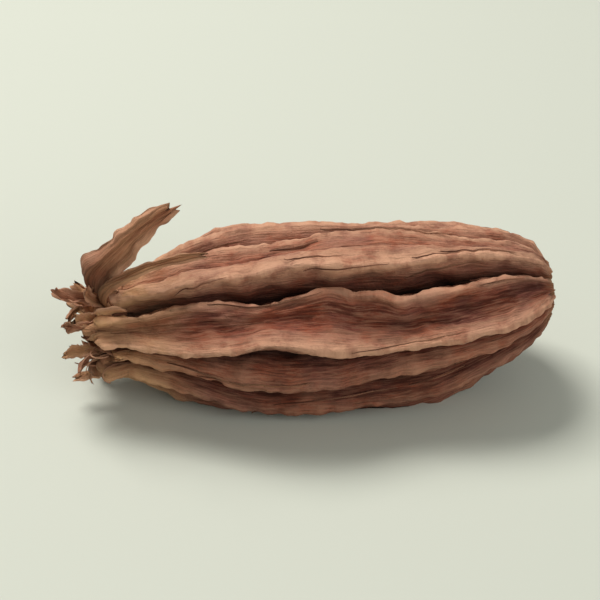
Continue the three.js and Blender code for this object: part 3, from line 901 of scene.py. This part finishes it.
grain_group, ins, outs = new_group(
    "stringy grain",
    {"Grain": VECTOR, "Coarseness": NUMBER},
    {"Fibres": NUMBER, "Streaks": NUMBER, "Patches": NUMBER, "Height": NUMBER},
)
stretched = add(
    grain_group, "ShaderNodeVectorMath", {0: ins["Grain"], 1: GRAIN_STRETCH}, operation="MULTIPLY",
).outputs[0]
scaled = add(
    grain_group, "ShaderNodeVectorMath", {0: stretched, "Scale": ins["Coarseness"]}, operation="SCALE",
).outputs[0]
fibres = noise(grain_group, scaled, *FIBRE_NOISE)
streaks = noise(grain_group, scaled, *STREAK_NOISE)
pores = noise(grain_group, ins["Grain"], *PORE_NOISE)
patches = noise(grain_group, ins["Grain"], *PATCH_NOISE)
height = times(grain_group, fibres, FIBRE_HEIGHT)
height = plus(grain_group, height, times(grain_group, streaks, STREAK_HEIGHT))
height = plus(grain_group, height, times(grain_group, pores, PORE_HEIGHT))
grain_group.links.new(spread(grain_group, fibres, *FIBRE_RANGE), outs["Fibres"])
grain_group.links.new(spread(grain_group, streaks, *STREAK_RANGE), outs["Streaks"])
grain_group.links.new(spread(grain_group, patches, *PATCH_RANGE), outs["Patches"])
grain_group.links.new(height, outs["Height"])

# %% [markdown]
# Colours of the dry skin
# Smoke-dried husk is red-brown with a purplish bloom. The crests are rubbed to a pale tan, the
# furrows are painted nearly black as shade, and the calyx end is straw. A painted picture could show
# all that, but it would fit one pod only. Here each change is one mix, driven by an attribute that is
# broken up by noise so that no edge is clean.

# %% Colours and where they show
RED_BROWN = colour(156, 75, 47)
MAUVE_BROWN = colour(142, 78, 63)
DARK_BROWN = colour(76, 30, 16)
# nearly black brown, laid on as painted shade
PAINTED_SHADE_BROWN = colour(36, 16, 9)
WORN_TAN = colour(222, 170, 138)
STRAW = colour(236, 182, 128)
DUSTY = colour(178, 126, 99)
# Where each effect begins and is full, on a scale from 0 to 1, and its strength
DARK_FIBRES = (0.5, 0.15, 0.6)
DARK_STREAKS = (0.45, 0.15, 0.6)
DUSTY_STREAKS = (0.55, 0.85, 0.45)
# painted light on the fine ridges and painted shade in the fine hollows
PAINTED_LIGHT_RIDGES = (0.5, 0.95, 0.45)
PAINTED_SHADE_HOLLOWS = (0.45, 0.1, 0.5)
# how strong the painted shade is in the furrows and in the hollow ends
FURROW_SHADE_STRENGTH, CUP_SHADE_STRENGTH = 0.85, 0.7
# Limits of a noise, and what they are stretched to
STRAW_PATCHES = (0.0, 1.0, 0.5, 1.0)
RUBBED_PATCHES = (0.3, 0.6, 0.35, 1.0)
FIBRE_ROUGHNESS = (0.0, 1.0, 0.9, 0.66)
RUBBED_SCALE = 0.9
BUMP_DISTANCE = 0.0002
SPECULAR = 0.35


def over(tree, base, mask, strength, tint):
    """The colour so far with another laid over it, as strongly as the mask and the strength say."""
    return blend(tree, times(tree, mask, strength), base, tint)


# %% Dry skin
def skin_material(name, coarseness, crest_strength, straw_strength, bump):
    """Dry skin: red-brown and mauve patches, dark strings between pale ones, pale crests, painted light
    on the broad folds and fine ridges, painted shade in the furrows, fine hollows and hollow ends, and
    straw towards the calyx. Rough, with the grain as fine relief."""
    material = bpy.data.materials.new(name)
    material.use_nodes = True
    tree = material.node_tree
    tree.nodes.clear()
    grain = layer(tree, "grain", "Vector")
    group = add(tree, "ShaderNodeGroup", node_tree=grain_group)
    tree.links.new(grain, group.inputs["Grain"])
    group.inputs["Coarseness"].default_value = coarseness
    fibres, streaks, patches, height = (group.outputs[k] for k in ("Fibres", "Streaks", "Patches", "Height"))
    raised = layer(tree, "raised")
    base = blend(tree, patches, RED_BROWN, MAUVE_BROWN)
    for value, (low, high, strength), tint in (
        (fibres, DARK_FIBRES, DARK_BROWN),
        (streaks, DARK_STREAKS, DARK_BROWN),
        (streaks, DUSTY_STREAKS, DUSTY),
        (raised, PAINTED_LIGHT_RIDGES, DUSTY),
        (raised, PAINTED_SHADE_HOLLOWS, DARK_BROWN),
    ):
        base = over(tree, base, spread(tree, value, low, high), strength, tint)
    straw = times(tree, layer(tree, "calyx"), spread(tree, patches, *STRAW_PATCHES))
    base = over(tree, base, straw, straw_strength, STRAW)
    blotches = spread(tree, noise(tree, grain, RUBBED_SCALE), *RUBBED_PATCHES)
    base = over(tree, base, times(tree, layer(tree, "crest"), blotches), crest_strength, WORN_TAN)
    # painted shade in the furrows, over the underside and at the roots of the strips
    base = over(tree, base, layer(tree, "furrow"), FURROW_SHADE_STRENGTH, PAINTED_SHADE_BROWN)
    # painted shade in the hollow ends
    base = over(tree, base, layer(tree, "cup"), CUP_SHADE_STRENGTH, PAINTED_SHADE_BROWN)
    rough = spread(tree, fibres, *FIBRE_ROUGHNESS)
    relief = add(tree, "ShaderNodeBump", {"Strength": bump, "Distance": BUMP_DISTANCE, "Height": height})
    shader = add(tree, "ShaderNodeBsdfPrincipled", {
        "Base Color": base,
        "Roughness": rough,
        "Normal": relief.outputs[0],
        "Specular IOR Level": SPECULAR,
    })
    output = add(tree, "ShaderNodeOutputMaterial")
    tree.links.new(shader.outputs[0], output.inputs["Surface"])
    return material


husk_material = skin_material(
    "dry husk", coarseness=1.0, crest_strength=0.85, straw_strength=0.78, bump=1.0,
)
calyx_material = skin_material(
    "papery calyx", coarseness=1.6, crest_strength=0.9, straw_strength=0.7, bump=0.8,
)
papery_pieces = (calyx_tongues, calyx_flap, calyx_shreds, calyx_fibres, husk_fibres)
husk.data.materials.append(husk_material)
for piece in papery_pieces:
    piece.data.materials.append(calyx_material)
print("materials:", husk_material.name, "and", calyx_material.name)

# %% [markdown]
# Floor, light and camera
# The pod lies on a plain pale surface under a broad soft light from above and a little behind,
# which is what makes its folds cast shadows downwards on the front. A weak light from the front
# keeps the shadows open. The camera looks down on it at the angle of the photograph.

# %% The stage
FLOOR_COLOUR = colour(205, 209, 198)
FLOOR_HALF = 2.0
FLOOR_ROUGHNESS = 0.7

floor_mesh = bpy.data.meshes.new("floor")
corners = [(x * FLOOR_HALF, y * FLOOR_HALF, 0) for x, y in ((-1, -1), (1, -1), (1, 1), (-1, 1))]
floor_mesh.from_pydata(corners, [], [(0, 1, 2, 3)])
floor = bpy.data.objects.new("floor", floor_mesh)
bpy.context.collection.objects.link(floor)
floor_material = bpy.data.materials.new("pale floor")
floor_material.use_nodes = True
floor_shader = floor_material.node_tree.nodes["Principled BSDF"]
floor_shader.inputs["Base Color"].default_value = FLOOR_COLOUR
floor_shader.inputs["Roughness"].default_value = FLOOR_ROUGHNESS
floor_mesh.materials.append(floor_material)
floor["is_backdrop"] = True

# %% Lights
LIGHTS_AIM = Vector((0, 0, 0.007))  # the middle of the pod
WORLD_COLOUR = colour(225, 229, 222)
WORLD_STRENGTH = 0.35


def soft_light(name, place, size, power, tint):
    """A square soft light at a place in metres, turned to face the pod."""
    lamp = bpy.data.lights.new(name, "AREA")
    lamp.size = size
    lamp.energy = power
    lamp.color = tint
    light = bpy.data.objects.new(name, lamp)
    light.location = place
    light.rotation_euler = (LIGHTS_AIM - light.location).to_track_quat("-Z", "Y").to_euler()
    bpy.context.collection.objects.link(light)


soft_light("key", place=(-0.10, 0.14, 0.30), size=0.16, power=1.08, tint=(1.0, 0.97, 0.92))
soft_light("fill", place=(0.22, -0.28, 0.24), size=0.30, power=0.58, tint=(1.0, 0.98, 0.96))

world = bpy.data.worlds.new("pale studio")
world.use_nodes = True
world.node_tree.nodes["Background"].inputs["Color"].default_value = WORLD_COLOUR
world.node_tree.nodes["Background"].inputs["Strength"].default_value = WORLD_STRENGTH
bpy.context.scene.world = world
bpy.context.scene.view_settings.view_transform = "Standard"

# %% Camera
CAMERA_AZIMUTH = -6 * DEGREE
CAMERA_ELEVATION = 35 * DEGREE
CAMERA_DISTANCE = 0.098
CAMERA_TARGET = Vector((-0.0004, 0, 0.0068))
LENS_LENGTH = 85  # millimetres
NEAREST_SEEN = 0.01

back = Vector((
    np.sin(CAMERA_AZIMUTH) * np.cos(CAMERA_ELEVATION),
    -np.cos(CAMERA_AZIMUTH) * np.cos(CAMERA_ELEVATION),
    np.sin(CAMERA_ELEVATION),
))
lens = bpy.data.cameras.new("camera")
lens.lens = LENS_LENGTH
lens.clip_start = NEAREST_SEEN
camera = bpy.data.objects.new("camera", lens)
camera.location = CAMERA_TARGET + back * CAMERA_DISTANCE
camera.rotation_euler = (-back).to_track_quat("-Z", "Y").to_euler()
bpy.context.collection.objects.link(camera)
bpy.context.scene.camera = camera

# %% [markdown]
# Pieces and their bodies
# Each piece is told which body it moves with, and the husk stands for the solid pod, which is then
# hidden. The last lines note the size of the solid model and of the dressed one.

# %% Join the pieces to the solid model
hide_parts("pod")
for piece in (husk, *papery_pieces):
    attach(piece, "root")

# %% Note the sizes and finish
new_low, new_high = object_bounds()
sizes = {
    "cad": [list(cad_low), list(cad_high)],
    "visual": [list(new_low), list(new_high)],
}
for model, box in sizes.items():
    print(model, "box, mm:", [[round(1000 * side, 2) for side in corner] for corner in box])
